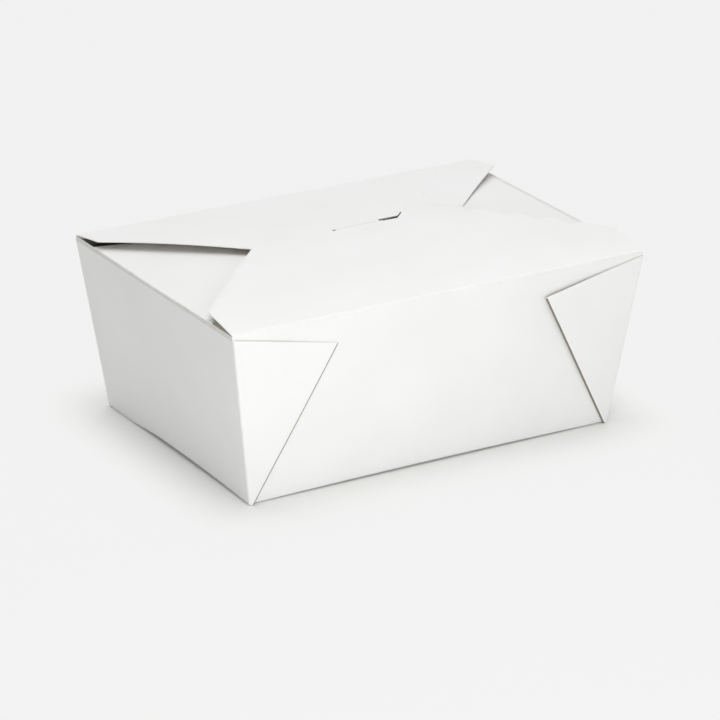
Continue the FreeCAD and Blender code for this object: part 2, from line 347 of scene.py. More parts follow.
def folded(flat, place, thickness, butts, bevel):
    """The blank laid in space by place(across, up, depth), with both faces and its cut edges.

    butts(across, up) is true where an edge meets another piece and stays sharp.
    """
    solid = bmesh.new()
    tops, unders = {}, {}
    for corner in flat.verts:
        across, up = corner.co.x, corner.co.y
        tops[corner] = solid.verts.new(place(across, up, 0.0))
        unders[corner] = solid.verts.new(place(across, up, thickness))
    for face in flat.faces:
        ring = [loop.vert for loop in face.loops]
        solid.faces.new([tops[corner] for corner in ring]).material_index = OUTSIDE
        solid.faces.new([unders[corner] for corner in reversed(ring)]).material_index = INSIDE
    softened = []
    for edge in flat.edges:
        if len(edge.link_faces) != 1:
            continue
        first, second = edge.verts
        rim = solid.faces.new([tops[first], tops[second], unders[second], unders[first]])
        rim.material_index = CUT_EDGE
        if not all(butts(corner.co.x, corner.co.y) for corner in edge.verts):
            softened.append(solid.edges.get((tops[first], tops[second])))
            softened.append(solid.edges.get((unders[first], unders[second])))
    flat.free()
    bmesh.ops.recalc_face_normals(solid, faces=solid.faces[:])
    bmesh.ops.bevel(solid, geom=softened, offset=bevel, offset_type="OFFSET", segments=2,
                    profile=0.5, affect="EDGES", clamp_overlap=True, material=-1)
    return solid


def into_object(solid, name):
    """A bmesh as a new object, shaded smooth but for its sharp edges."""
    bmesh.ops.recalc_face_normals(solid, faces=solid.faces[:])
    mesh = bpy.data.meshes.new(name)
    solid.to_mesh(mesh)
    solid.free()
    for polygon in mesh.polygons:
        polygon.use_smooth = True
    mesh.set_sharp_from_angle(angle=SHARP_ANGLE)
    thing = bpy.data.objects.new(name, mesh)
    bpy.context.scene.collection.objects.link(thing)
    return thing


def dress(thing):
    """Give a piece the board's finishes."""
    for finish in FINISHES:
        thing.data.materials.append(bpy.data.materials[finish])


# Profiles of the flaps


class Profile:
    """The line that a flap's outside follows from its wall, round its crease and inwards."""

    def __init__(self, lean, depth, rise, power, reach, low):
        sizes = bpy.context.scene.food_box_sizes
        self.depth, self.rise, self.power = depth, rise, power
        start_slope = Vector((1.0, power * rise / depth)).normalized()
        wall_up = Vector((-lean, 1.0)).normalized()
        turn = wall_up.angle(start_slope)
        reach_back = sizes.crease_radius * math.tan(turn / 2)
        self.points = [Vector((lean * low, -low))]
        begin = -wall_up * reach_back
        end_in = start_slope.x * reach_back
        end = Vector((end_in, self.lift(end_in)))
        steps = 10
        for step in range(steps + 1):
            share = step / steps
            self.points.append(begin.lerp(Vector((0, 0)), share).lerp(
                Vector((0, 0)).lerp(end, share), share))
        count = max(2, round((reach - end_in) / FLAP_STEP))
        for step in range(1, count + 1):
            inwards = lerp(end_in, reach, step / count)
            self.points.append(Vector((inwards, self.lift(inwards))))
        self.marks = [0.0]
        for first, second in zip(self.points, self.points[1:]):
            self.marks.append(self.marks[-1] + (second - first).length)
        self.directions = []
        last = len(self.points) - 1
        for index in range(last + 1):
            ahead = self.points[min(index + 1, last)] - self.points[max(index - 1, 0)]
            self.directions.append(ahead.normalized())
        self.directions[0] = wall_up

    def lift(self, inwards):
        """Height of the flap's outside over its crease."""
        return self.rise * (1 - abs(1 - inwards / self.depth) ** self.power)

    def mark_at(self, inwards):
        """Distance along the line of the point that lies this far in from the crease."""
        for index in range(1, len(self.points)):
            here = self.points[index]
            if here.x >= inwards and index > 2:
                before = self.points[index - 1]
                share = (inwards - before.x) / max(here.x - before.x, 1e-9)
                return lerp(self.marks[index - 1], self.marks[index], share)
        return self.marks[-1]

    def at(self, mark, depth):
        """Point at a distance along the line and a depth into the board."""
        index = min(max(bisect.bisect_right(self.marks, mark) - 1, 0), len(self.marks) - 2)
        span = self.marks[index + 1] - self.marks[index]
        share = min(max((mark - self.marks[index]) / span, 0.0), 1.0)
        point = self.points[index].lerp(self.points[index + 1], share)
        ahead = self.directions[index].lerp(self.directions[index + 1], share).normalized()
        return point + Vector((ahead.y, -ahead.x)) * depth


def sway(along, inwards, reach, depth):
    """A slight hollow in a flap, nothing at its crease, so that it isn't dead flat."""
    swell = math.sin(math.pi * min(max(inwards / reach, 0.0), 1.0))
    by_along, by_inwards, start = HOLLOW_WAVE
    wave = math.sin(along * by_along + inwards * by_inwards + start)
    return -depth * swell * (0.5 + 0.5 * wave)


# The pieces


def foot_lift(across, along):
    """How far the bottom panel arches off the table: it stands on its four corners."""
    sizes = bpy.context.scene.food_box_sizes
    level_x = min(abs(2 * across / sizes.bottom_length), 1.0) ** 2
    level_y = min(abs(2 * along / sizes.bottom_width), 1.0) ** 2
    end_arch = END_FOOT_ARCH * (1 - level_y) * (1 - smooth(along, *BACK_OF_ARCH))
    return end_arch * level_x + LONG_FOOT_ARCH * (1 - level_x)


def walls_solid():
    """Bottom and four walls as one folded shell."""
    sizes = bpy.context.scene.food_box_sizes
    top = sizes.wall_height - sizes.root
    solid = bmesh.new()
    columns_long, columns_short = WALL_COLUMNS
    arc_steps, base_steps = 6, 4

    def ring(height, radius, shrink, inner):
        """Points of one level of the shell; shrink draws it in at the base fold."""
        points = []
        off = sizes.board if inner else 0.0
        half_x = half_length(height) - off - shrink
        half_y = half_width(height) - 2 * sizes.board - off - shrink
        corners = ((1, -1), (1, 1), (-1, 1), (-1, -1))
        for index, (side_x, side_y) in enumerate(corners):
            centre_x = side_x * (half_x - radius)
            centre_y = side_y * (half_y - radius)
            base = -math.pi / 2 + index * math.pi / 2
            for step in range(arc_steps + 1):
                angle = base + step * math.pi / 2 / arc_steps
                points.append((centre_x + radius * math.cos(angle),
                               centre_y + radius * math.sin(angle), height))
            next_x, next_y = corners[(index + 1) % 4]
            across = next_x != side_x
            count = columns_long if across else columns_short
            for step in range(1, count):
                share = step / count
                if across:
                    along = lerp(side_x, next_x, share) * (half_x - radius)
                    away = half_y + front_bow(along, half_length(height), height)
                    points.append((along, side_y * away, height))
                else:
                    along = lerp(side_y, next_y, share) * (half_y - radius)
                    away = half_x + end_bow(along, half_width(height), height)
                    points.append((side_x * away, along, height))
        return [(x, y, z + foot_lift(x, y) * (1 - smooth(z, 0.0, ARCH_HEIGHT)))
                for x, y, z in points]

    corner = sizes.corner_radius - sizes.board
    levels = spaced(sizes.base_radius, top, WALL_STEP)

    def shell(inner):
        """Rings from the middle of the bottom to the rim, for one side of the board."""
        floor = sizes.board if inner else 0.0
        radius = sizes.base_radius - floor
        bend = corner - floor
        rings = []
        for share in BOTTOM_RINGS:
            flat = ring(floor, bend, radius, inner)
            inset = [(x * share, y * share) for x, y, _ in flat]
            rings.append([(x, y, floor + foot_lift(x, y)) for x, y in inset])
        for step in range(base_steps + 1):
            angle = step * math.pi / (2 * base_steps)
            height = floor + radius * (1 - math.cos(angle))
            rings.append(ring(height, bend, radius * (1 - math.sin(angle)), inner))
        for height in [sizes.base_radius] + levels + [top]:
            rings.append(ring(height, bend, 0.0, inner))
        made = [[solid.verts.new(point) for point in level] for level in rings]
        centre = solid.verts.new((0.0, 0.0, floor))
        finish = INSIDE if inner else OUTSIDE
        count = len(made[0])
        for index in range(count):
            after = (index + 1) % count
            face = solid.faces.new([centre, made[0][after], made[0][index]])
            face.material_index = finish
            for low, high in zip(made, made[1:]):
                face = solid.faces.new([low[index], low[after], high[after], high[index]])
                face.material_index = finish
        return made[-1]

    outer, inner = shell(False), shell(True)
    for index in range(len(outer)):
        after = (index + 1) % len(outer)
        rim = solid.faces.new([outer[index], outer[after], inner[after], inner[index]])
        rim.material_index = CUT_EDGE
    bmesh.ops.remove_doubles(solid, verts=solid.verts[:], dist=MERGE)
    for face in solid.faces:
        if face.material_index == INSIDE and face.calc_center_median().z < BOTTOM_TOP:
            face.material_index = BOTTOM
    return solid


def web_solid():
    """One corner web: the board folded back on itself and glued to the front wall's right end."""
    sizes = bpy.context.scene.food_box_sizes
    board, corner = sizes.board, sizes.corner_radius
    top = sizes.wall_height - sizes.web_drop
    foot = Vector((sizes.bottom_length / 2 - sizes.web_foot, 0.0))
    tip = Vector((sizes.web_tip_offset, sizes.web_tip_height))
    up_fold = (tip - foot).normalized()
    off_fold = Vector((up_fold.y, -up_fold.x))
    bend = board / 2 + 0.00001
    quarter = bend * math.pi / 2
    wrap = corner * (math.pi / 2 - 1)
    low = WEB_LOW

    def flat_point(across, height):
        """A point of the outer layer in the unfolded blank."""
        away = Vector((across, height)) - foot
        return (away.dot(off_fold) + quarter - board, away.dot(up_fold))

    outer = [
        flat_point(half_length(low) + wrap, low),
        flat_point(half_length(top) + wrap, top),
    ]
    under = [
        flat_point(half_length(top) - UNDER_LAYER_SHORT, top),
        flat_point(half_length(low) - UNDER_LAYER_SHORT, low),
    ]
    tip_flat = (0.0, (tip - foot).length)
    foot_flat = (0.0, low / up_fold.y)
    outline = [foot_flat] + outer + [tip_flat] + [(-across, up) for across, up in under]
    outline = rounded(outline, WEB_CORNER, 3)
    cuts = rows([quarter * step / 4 for step in range(-4, 5)] + [quarter + FOLD_STRIP], 0)
    cuts += rows(spaced(-0.06, 0.06, WEB_STEP), 0) + rows(spaced(0.0, 0.09, WEB_STEP), 1)
    lean = Vector((half_length(top) - half_length(low), top - low)).normalized()
    fold_normal = Vector((lean.y, -lean.x))
    for step in range(CORNER_STEPS + 1):
        over = corner * math.pi / 2 * step / CORNER_STEPS - corner
        at = Vector(flat_point(half_length(low) + over, low))
        normal = (fold_normal.dot(off_fold), fold_normal.dot(up_fold))
        cuts.append((tuple(at), normal))
    flat = blank([outline], cuts)

    def place(across, up, depth):
        """Fold the web on its slanting fold, then round the box's corner."""
        out = board / 2 - depth
        middle = board
        if across >= quarter:
            away, stand = across - quarter, middle + bend + out
        elif across <= -quarter:
            away, stand = -across - quarter, middle - bend - out
        else:
            angle = across / bend
            away = -(bend + out) * math.cos(angle)
            stand = middle + (bend + out) * math.sin(angle)
        spot = foot + off_fold * (away + board) + up_fold * up
        side, height = spot
        lifted = height + foot_lift(side, half_width(0)) * (1 - smooth(height, 0.0, ARCH_HEIGHT))
        over = side - (half_length(height) - corner)
        if over > 0 and across > 0:
            angle = min(over / corner, math.pi / 2)
            radius = corner - (2 * board - stand)
            return (half_length(height) - corner + radius * math.sin(angle),
                    -(half_width(height) - corner + radius * math.cos(angle)), lifted)
        apart = smooth(half_length(height) - side, corner, STAND_LENGTH)
        apart *= smooth(height, 0.0, ARCH_HEIGHT)
        wall = half_width(height) - 2 * board + apart * sizes.web_stand
        return (side, -min(wall + stand, CARTON_HIGH[1] - depth), lifted)

    solid = folded(flat, place, board, lambda across, up: False, WEB_BEVEL)
    solid.normal_update()
    for face in solid.faces:
        if face.material_index != OUTSIDE:
            continue
        centre = face.calc_center_median()
        # Painted shadow: the outer faces near the slanting fold take the dark fold finish, standing
        # in for the shadow in the gap between fold and wall.
        if (Vector((centre.x, centre.z)) - foot).dot(off_fold) < FOLD_SHADOW_REACH:
            face.material_index = PAINTED_FOLD_SHADOW
        # Painted shade: the under layer's coated faces that face the wall take the darker plain
        # finish, so that the gap between web and wall looks shaded.
        elif face.normal.y > FACES_WALL:
            face.material_index = INSIDE
    return solid


def lay_front(sign, crease):
    """Turns a flap's along, inward and upward distances into a point, for a front or back flap."""
    sizes = bpy.context.scene.food_box_sizes
    return lambda along, inwards, lift: (along, sign * (crease - inwards),
                                         sizes.wall_height + lift)


def at_root(along, mark):
    """Whether a point of a flap's blank lies on the edge that meets the wall."""
    return mark < ROOT_END


def back_flap_solid():
    """The flap under the front one, with the hooked slit."""
    sizes = bpy.context.scene.food_box_sizes
    crease = half_width(sizes.wall_height) - 2 * sizes.board
    lean = (sizes.top_width - sizes.bottom_width) / 2 / sizes.wall_height
    line = Profile(lean, crease, sizes.back_rise, LONG_POWER, sizes.back_reach, sizes.root)
    end = sizes.top_length / 2 - FLAP_INSET
    root = half_length(sizes.wall_height - sizes.root) - FLAP_INSET
    knee = line.mark_at(sizes.flap_knee)
    reach = line.mark_at(sizes.back_reach)
    tip = end - (sizes.back_reach - sizes.flap_knee)
    half = [(root, 0.0), (end, line.mark_at(SIDE_START)), (end, knee), (tip, reach)]
    outline = half + [(-along, mark) for along, mark in reversed(half)]
    outline = rounded(outline, BACK_CORNER, 4)
    slit = [(along, line.mark_at(crease - across)) for along, across in SLIT]
    slit = rounded(slit, SLIT_CORNER, 3)
    cuts = rows(line.marks[1:-1], 1) + rows(spaced(-end, end, LONG_FLAP_COLUMN), 0)
    flat = blank([outline, slit], cuts)
    lay = lay_front(1, crease)

    def place(along, mark, depth):
        inwards, lift = line.at(mark, depth)
        if lift < 0:
            height = sizes.wall_height + lift
            inwards -= front_bow(along, half_length(height), height)
        hollow = sway(along, inwards, sizes.back_reach * HOLLOW_REACH, HOLLOW)
        return lay(along, inwards, lift + hollow)

    return folded(flat, place, sizes.board, at_root, BEVEL)


def end_flap_solid(side):
    """The flap of one end, which rises inwards under the long flaps."""
    sizes = bpy.context.scene.food_box_sizes
    lean = (sizes.top_length - sizes.bottom_length) / 2 / sizes.wall_height
    low = sizes.root - sizes.end_drop
    rise, power = END_SHAPE[side]
    line = Profile(lean, sizes.end_reach, rise, power, sizes.end_reach, low)
    root = half_width(sizes.wall_height - sizes.root) - sizes.corner_radius
    shoulder = line.marks[4]
    reach = line.mark_at(sizes.end_reach)
    half = [(root, 0.0), (root, shoulder), (sizes.end_half, shoulder),
            (sizes.end_tip_half, reach)]
    outline = half + [(-along, mark) for along, mark in reversed(half)]
    outline = rounded(outline, END_CORNER, 3)
    cuts = rows(line.marks[1:-1], 1) + rows(spaced(-root, root, END_FLAP_COLUMN), 0)
    flat = blank([outline], cuts)

    crease = sizes.wall_height - sizes.end_drop
    bulge, level = END_CREASE_BEND[side]

    def place(along, mark, depth):
        spot = line.at(mark, depth)
        bend = level + bulge * min(abs(along) / sizes.end_half, 1.0) ** 2
        fade = smooth(mark, 0.0, shoulder) * (1 - smooth(spot.x, 0.0, sizes.end_reach))
        return (side * (half_length(crease) - spot.x), along, crease + spot.y + bend * fade)

    solid = folded(flat, place, sizes.board, at_root, BEVEL)
    solid.normal_update()
    # Painted shade: the outward faces just over the crease take the darker crease finish, standing
    # in for the shade along the fold.
    for face in solid.faces:
        low = face.calc_center_median().z < crease + CREASE_TOP
        out = face.normal.x * side > CREASE_FACES_OUT
        if face.material_index == OUTSIDE and low and out:
            face.material_index = PAINTED_CREASE_SHADE
    return solid


def front_flap_solid():
    """The flap that opens, with its tongue folded down into the slit and its ear."""
    sizes = bpy.context.scene.food_box_sizes
    crease = half_width(sizes.wall_height) - 2 * sizes.board
    lean = (sizes.top_width - sizes.bottom_width) / 2 / sizes.wall_height
    line = Profile(lean, crease, sizes.front_rise, LONG_POWER, crease + EAR_EDGE, sizes.root)
    end = sizes.top_length / 2 - FLAP_INSET
    root = half_length(sizes.wall_height - sizes.root) - FLAP_INSET
    knee = line.mark_at(sizes.flap_knee)
    knee_edge = sizes.flap_knee - crease

    def mark(across):
        return line.mark_at(crease + across)

    tongue_start = mark(NOTCH_FLOOR)
    bent = TONGUE_BEND * (math.pi / 2 + TONGUE_LEAN)
    outline = [
        (-root, 0.0),
        (root, 0.0),
        (end, line.mark_at(SIDE_START)),
        (end, knee),
        (end + knee_edge - EAR_EDGE, mark(EAR_EDGE)),
        (EAR_LEFT, mark(EAR_EDGE)),
        (EAR_LEFT - EAR_EDGE + NOTCH_FLOOR - NOTCH_CUT, mark(NOTCH_FLOOR - NOTCH_CUT)),
        (TONGUE_RIGHT + NOTCH_CUT, mark(NOTCH_FLOOR - NOTCH_CUT)),
        (TONGUE_RIGHT, tongue_start),
        (TONGUE_RIGHT - TONGUE_TAPER, tongue_start + bent + TONGUE_DROP),
        (-TONGUE_LEFT + TONGUE_TAPER, tongue_start + bent + TONGUE_DROP),
        (-TONGUE_LEFT, tongue_start),
        (-TONGUE_LEFT, mark(FREE_EDGE)),
        (-end - knee_edge + FREE_EDGE, mark(FREE_EDGE)),
        (-end, knee),
        (-end, line.mark_at(SIDE_START)),
    ]
    outline = rounded(outline, FRONT_CORNER, 4)
    marks = line.marks[1:-1]
    marks += [tongue_start + bent * step / 5 for step in range(6)]
    cuts = rows(sorted(marks), 1) + rows(spaced(-end, end, LONG_FLAP_COLUMN), 0)
    flat = blank([outline], cuts)
    lay = lay_front(-1, crease)

    def place(along, mark, depth):
        if mark <= tongue_start + MERGE or along > TONGUE_RIGHT + MILLIMETRE:
            inwards, lift = line.at(mark, depth)
            if lift < 0:
                height = sizes.wall_height + lift
                inwards -= front_bow(along, half_length(height), height)
        else:
            base = line.at(tongue_start, 0.0)
            past = mark - tongue_start
            angle = min(past, bent) / TONGUE_BEND
            radius = TONGUE_BEND - depth
            inwards = base.x + radius * math.sin(angle)
            lift = base.y - TONGUE_BEND + radius * math.cos(angle)
            straight = max(past - bent, 0.0)
            inwards += straight * math.cos(angle)
            lift -= straight * math.sin(angle)
        hollow = sway(along, min(inwards, crease), sizes.back_reach * HOLLOW_REACH, HOLLOW)
        return lay(along, inwards, lift + hollow)

    return folded(flat, place, sizes.board, at_root, BEVEL)


# Nodes and materials


def node(tree, kind, inputs=(), **settings):
    """A new node with its settings, and each input linked to a socket or set to a value."""
    made = tree.nodes.new(kind)
    for name, value in settings.items():
        setattr(made, name, value)
    for name, value in dict(inputs).items():
        if isinstance(value, bpy.types.NodeSocket):
            tree.links.new(value, made.inputs[name])
        else:
            made.inputs[name].default_value = value
    return made


def empty_tree(name):
    """A new material's node tree with nothing in it."""
    material = bpy.data.materials.new(name)
    material.use_nodes = True
    material.node_tree.nodes.clear()
    return material.node_tree


def surface(tree, inputs):
    """End a material's tree with a shader that has these inputs."""
    shader = node(tree, "ShaderNodeBsdfPrincipled", inputs)
    node(tree, "ShaderNodeOutputMaterial", {"Surface": shader.outputs["BSDF"]})


def noise(tree, place, scale, detail, stretch=(1.0, 1.0, 1.0)):
    """A noise on the piece's own coordinates, drawn out along an axis."""
    coordinates = node(tree, "ShaderNodeTexCoord")
    mapping = node(tree, "ShaderNodeMapping", {
        "Vector": coordinates.outputs["Object"], "Location": place, "Scale": stretch})
    texture = node(tree, "ShaderNodeTexNoise", {
        "Vector": mapping.outputs["Vector"], "Scale": scale, "Detail": detail})
    return texture.outputs["Fac"]


def ranged(tree, value, low, high):
    """A noise's middle range spread over low to high."""
    spread = node(tree, "ShaderNodeMapRange", {
        "Value": value, "From Min": 0.3, "From Max": 0.7, "To Min": low, "To Max": high})
    return spread.outputs["Result"]


def mottled(tree, value, first, second):
    """Two colours, mixed by a noise."""
    mix = node(tree, "ShaderNodeMix", {
        "Factor": ranged(tree, value, 0.0, 1.0), "A": (*first, 1.0), "B": (*second, 1.0),
    }, data_type="RGBA")
    return mix.outputs["Result"]


def bumped(tree, height, strength, distance, under=None):
    """A bump, on top of another one if there is one."""
    inputs = {"Strength": strength, "Distance": distance, "Height": height}
    if under is not None:
        inputs["Normal"] = under
    return node(tree, "ShaderNodeBump", inputs).outputs["Normal"]


def make_coated_side(finish):
    """Clay-coated white board: satin, with faint fibres and soft cockling under the coat."""
    tree = empty_tree("coated_side")
    cloudy = noise(tree, (0.3, 0.1, 0.7), 22.0, 3.0)
    sheen = noise(tree, (0.0, 0.4, 0.2), 60.0, 2.0)
    cockle = noise(tree, (0.9, 0.2, 0.5), 17.0, 1.0)
    fibre = noise(tree, (0.0, 0.0, 0.0), 900.0, 2.0, (0.25, 1.0, 1.0))
    waves = bumped(tree, cockle, 0.25, 0.0012)
    surface(tree, {
        "Base Color": mottled(tree, cloudy, finish.coated, finish.coated_shade),
        "Roughness": ranged(tree, sheen, 0.34, 0.46),
        "Specular IOR Level": 0.22,
        "Normal": bumped(tree, fibre, 0.08, 0.00006, waves),
    })


def make_plain(name, finish, passed):
    """The uncoated inside: matt, warmer and a little mottled; it lets a share of light pass."""
    tree = empty_tree(name)
    deeper = tuple(0.94 * level for level in finish.plain)
    mottle = noise(tree, (0.2, 0.6, 0.1), 140.0, 4.0)
    fibre = noise(tree, (0.5, 0.0, 0.0), 1200.0, 3.0, (0.3, 1.0, 1.0))
    surface(tree, {
        "Base Color": mottled(tree, mottle, finish.plain, deeper),
        "Roughness": 0.85,
        "Subsurface Weight": passed,
        "Subsurface Radius": (1.0, 0.9, 0.8),
        "Subsurface Scale": 0.005,
        "Normal": bumped(tree, fibre, 0.2, 0.0001),
    })


def make_cut_edge(finish):
    """A die-cut edge: white, matt, with the ends of the fibres."""
    tree = empty_tree("cut_edge")
    paler = tuple(min(1.0, 1.03 * level) for level in finish.cut)
    speck = noise(tree, (0.1, 0.3, 0.9), 2500.0, 2.0)
    surface(tree, {
        "Base Color": mottled(tree, speck, finish.cut, paler),
        "Roughness": 0.75,
        "Normal": bumped(tree, speck, 0.2, 0.00005),
    })


def make_painted_shade(name, colour):
    """Painted shade along a fold: a darker, faintly mottled colour standing in for the shade in a
    crease or the shadow beside a fold.
    """
    tree = empty_tree(name)
    paler = tuple(1.12 * level for level in colour)
    blotches = noise(tree, (0.4, 0.2, 0.6), 260.0, 3.0)
    surface(tree, {"Base Color": mottled(tree, blotches, colour, paler), "Roughness": 0.8})


# Geometry Nodes: one web set at all four corners


def corner_tree():
    """A node tree that mirrors what it is given into the four quarters of the box."""
    tree = bpy.data.node_groups.new("at_four_corners", "GeometryNodeTree")
    add = tree.interface.new_socket
    add("Geometry", in_out="INPUT", socket_type="NodeSocketGeometry")
    add("Quarter", in_out="INPUT", socket_type="NodeSocketFloat").default_value = 1.0
    for name in FINISHES:
        add(name, in_out="INPUT", socket_type="NodeSocketMaterial")
    add("Geometry", in_out="OUTPUT", socket_type="NodeSocketGeometry")
    source = node(tree, "NodeGroupInput")
    double = node(tree, "ShaderNodeMath", {0: source.outputs["Quarter"], 1: 2.0},
                  operation="MULTIPLY")
    grid = node(tree, "GeometryNodeMeshGrid", {
        "Size X": double.outputs[0], "Size Y": double.outputs[0], "Vertices X": 2, "Vertices Y": 2})
    place = node(tree, "GeometryNodeInputPosition")
    keep = node(tree, "GeometryNodeCaptureAttribute", {"Geometry": grid.outputs["Mesh"]})
    keep.capture_items.new("VECTOR", "Side")
    tree.links.new(place.outputs["Position"], keep.inputs["Side"])
    middle = node(tree, "ShaderNodeCombineXYZ")
    gather = node(tree, "GeometryNodeSetPosition", {
        "Geometry": keep.outputs["Geometry"], "Position": middle.outputs["Vector"]})
    upright = node(tree, "ShaderNodeVectorMath", {
        0: keep.outputs["Side"], 1: (0.0, 0.0, 1.0)}, operation="ADD")
    copies = node(tree, "GeometryNodeInstanceOnPoints", {
        "Points": gather.outputs["Geometry"], "Instance": source.outputs["Geometry"],
        "Scale": upright.outputs["Vector"]})
    real = node(tree, "GeometryNodeRealizeInstances", {"Geometry": copies.outputs["Instances"]})
    last = real.outputs["Geometry"]
    side = node(tree, "GeometryNodeInputNamedAttribute", {"Name": "board_side"}, data_type="INT")
    for index, name in enumerate(FINISHES):
        same = node(tree, "FunctionNodeCompare", {"A": side.outputs["Attribute"], "B": index},
                    data_type="INT", operation="EQUAL")
        paint = node(tree, "GeometryNodeSetMaterial", {
            "Geometry": last, "Selection": same.outputs["Result"],
            "Material": source.outputs[name]})
        last = paint.outputs["Geometry"]
    node(tree, "NodeGroupOutput", {"Geometry": last})
    return tree


def set_input(modifier, name, value):
    """Set a node tree's named input through its socket's identifier."""
    for item in modifier.node_group.interface.items_tree:
        if item.item_type == "SOCKET" and item.in_out == "INPUT" and item.name == name:
            modifier[item.identifier] = value
            return
    raise RuntimeError(f"the node tree has no input named {name}")


def settled(thing):
    """Turn a piece's modifiers into plain mesh, with its faces outwards."""
    bpy.context.view_layer.update()
    graph = bpy.context.evaluated_depsgraph_get()
    mesh = bpy.data.meshes.new_from_object(thing.evaluated_get(graph))
    thing.modifiers.clear()
    thing.data = mesh
    mesh.name = thing.name
    solid = bmesh.new()
    solid.from_mesh(mesh)
    bmesh.ops.recalc_face_normals(solid, faces=solid.faces[:])
    solid.to_mesh(mesh)
    solid.free()


# Operators


class FOODBOX_OT_finishes(bpy.types.Operator):
    """Make the finishes of the board's sides and edges, and the shade painted along its creases and
    folds
    """

    bl_idname = "foodbox.finishes"
    bl_label = "Board finishes"

    def execute(self, context):
        finish = context.scene.food_box_finish
        make_coated_side(finish)
        make_plain("plain_side", finish, 0.6)
        make_plain("plain_bottom", finish, 0.0)
        make_cut_edge(finish)
        make_painted_shade("crease", finish.crease)
        make_painted_shade("painted_fold_shadow", finish.core)
        return {"FINISHED"}


class FOODBOX_OT_walls(bpy.types.Operator):
    """Build the bottom and the four walls"""

    bl_idname = "foodbox.walls"
    bl_label = "Walls"

    def execute(self, context):
        walls = into_object(walls_solid(), "carton_walls")
        dress(walls)
        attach(walls, CARTON_BODY)
        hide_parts("carton")
        return {"FINISHED"}


class FOODBOX_OT_webs(bpy.types.Operator):
    """Build one corner web and set it at all four corners"""

    bl_idname = "foodbox.webs"
    bl_label = "Corner webs"

    def execute(self, context):
        webs = into_object(web_solid(), "corner_webs")
        kinds = [polygon.material_index for polygon in webs.data.polygons]
        webs.data.attributes.new("board_side", "INT", "FACE").data.foreach_set("value", kinds)
        modifier = webs.modifiers.new("corners", "NODES")
        modifier.node_group = corner_tree()
        set_input(modifier, "Quarter", 1.0)
        for finish in FINISHES:
            set_input(modifier, finish, bpy.data.materials[finish])
        settled(webs)
        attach(webs, CARTON_BODY)
        return {"FINISHED"}


class FOODBOX_OT_back_flap(bpy.types.Operator):
    """Build the back flap"""

    bl_idname = "foodbox.back_flap"
    bl_label = "Back flap"

    def execute(self, context):
        flap = into_object(back_flap_solid(), "back_flap_sheet")
        dress(flap)
        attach(flap, CARTON_BODY)
        return {"FINISHED"}


class FOODBOX_OT_end_flaps(bpy.types.Operator):
    """Build the two end flaps"""

    bl_idname = "foodbox.end_flaps"
    bl_label = "End flaps"

    def execute(self, context):
        for side, word in ((1, "right"), (-1, "left")):
            flap = into_object(end_flap_solid(side), f"{word}_end_flap_sheet")
            dress(flap)
            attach(flap, CARTON_BODY)
        return {"FINISHED"}


class FOODBOX_OT_front_flap(bpy.types.Operator):
    """Build the front flap, rounded over its crease"""

    bl_idname = "foodbox.front_flap"
    bl_label = "Front flap"

    def execute(self, context):
        flap = into_object(front_flap_solid(), "front_flap_sheet")
        dress(flap)
        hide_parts("front_flap")
        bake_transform(flap)
        return {"FINISHED"}


# The studio


def make_camera():
    """The camera at the angle of the photograph."""
    data = bpy.data.cameras.new("camera")
    data.sensor_width = 36.0
    data.lens = CAMERA_LENS
    data.clip_end = 50.0
    camera = bpy.data.objects.new("camera", data)
    bpy.context.scene.collection.objects.link(camera)
    flat = math.cos(CAMERA_ELEVATION)
    back = Vector((math.sin(CAMERA_AZIMUTH) * flat, -math.cos(CAMERA_AZIMUTH) * flat,
                   math.sin(CAMERA_ELEVATION)))
    right = (-back).cross(Vector((0, 0, 1))).normalized()
    up = right.cross(-back)
    turned_right = right * math.cos(CAMERA_ROLL) + up * math.sin(CAMERA_ROLL)
    turned_up = up * math.cos(CAMERA_ROLL) - right * math.sin(CAMERA_ROLL)
    turn = Matrix((turned_right, turned_up, back)).transposed().to_4x4()
    camera.matrix_world = Matrix.Translation(CAMERA_PLACE) @ turn
    bpy.context.scene.camera = camera


def make_lamps(studio):
    """A wide soft light from overhead, and two nearer soft lamps at the front left."""
    lamps = (
        ("overhead", "SUN", studio.overhead, OVERHEAD_FROM),
        ("low_lamp", "AREA", studio.low, LOW_PLACE),
        ("high_lamp", "AREA", studio.high, HIGH_PLACE),
    )
    for name, kind, strength, place in lamps:
        data = bpy.data.lights.new(name, kind)
        data.energy = strength
        if kind == "SUN":
            data.angle = OVERHEAD_SPREAD
        else:
            data.size = LAMP_SIZE
        lamp = bpy.data.objects.new(name, data)
        bpy.context.scene.collection.objects.link(lamp)
        lamp.location = place
        lamp.rotation_euler = Vector(place).to_track_quat("Z", "Y").to_euler()


def plain_to(tree):
    """1 for the rays that see the plain background: the camera's, and those off metal or glass."""
    path = node(tree, "ShaderNodeLightPath")
    last = path.outputs["Is Camera Ray"]
    for kind in ("Is Glossy Ray", "Is Transmission Ray"):
        either = node(tree, "ShaderNodeMath", {0: last, 1: path.outputs[kind]},
                      operation="MAXIMUM")
        last = either.outputs["Value"]
    return last


def make_world(studio):
    """Even light all round, and a plain background for the camera."""
    world = bpy.data.worlds.new("studio")
    bpy.context.scene.world = world
    world.use_nodes = True
    tree = world.node_tree
    tree.nodes.clear()
    light = node(tree, "ShaderNodeBackground", {
        "Color": (1.0, 1.0, 1.0, 1.0), "Strength": studio.sky})
    seen = node(tree, "ShaderNodeBackground", {"Color": (*studio.background, 1.0)})
    mix = node(tree, "ShaderNodeMixShader", {
        "Fac": plain_to(tree), 1: light.outputs["Background"], 2: seen.outputs["Background"]})
    node(tree, "ShaderNodeOutputWorld", {"Surface": mix.outputs["Shader"]})


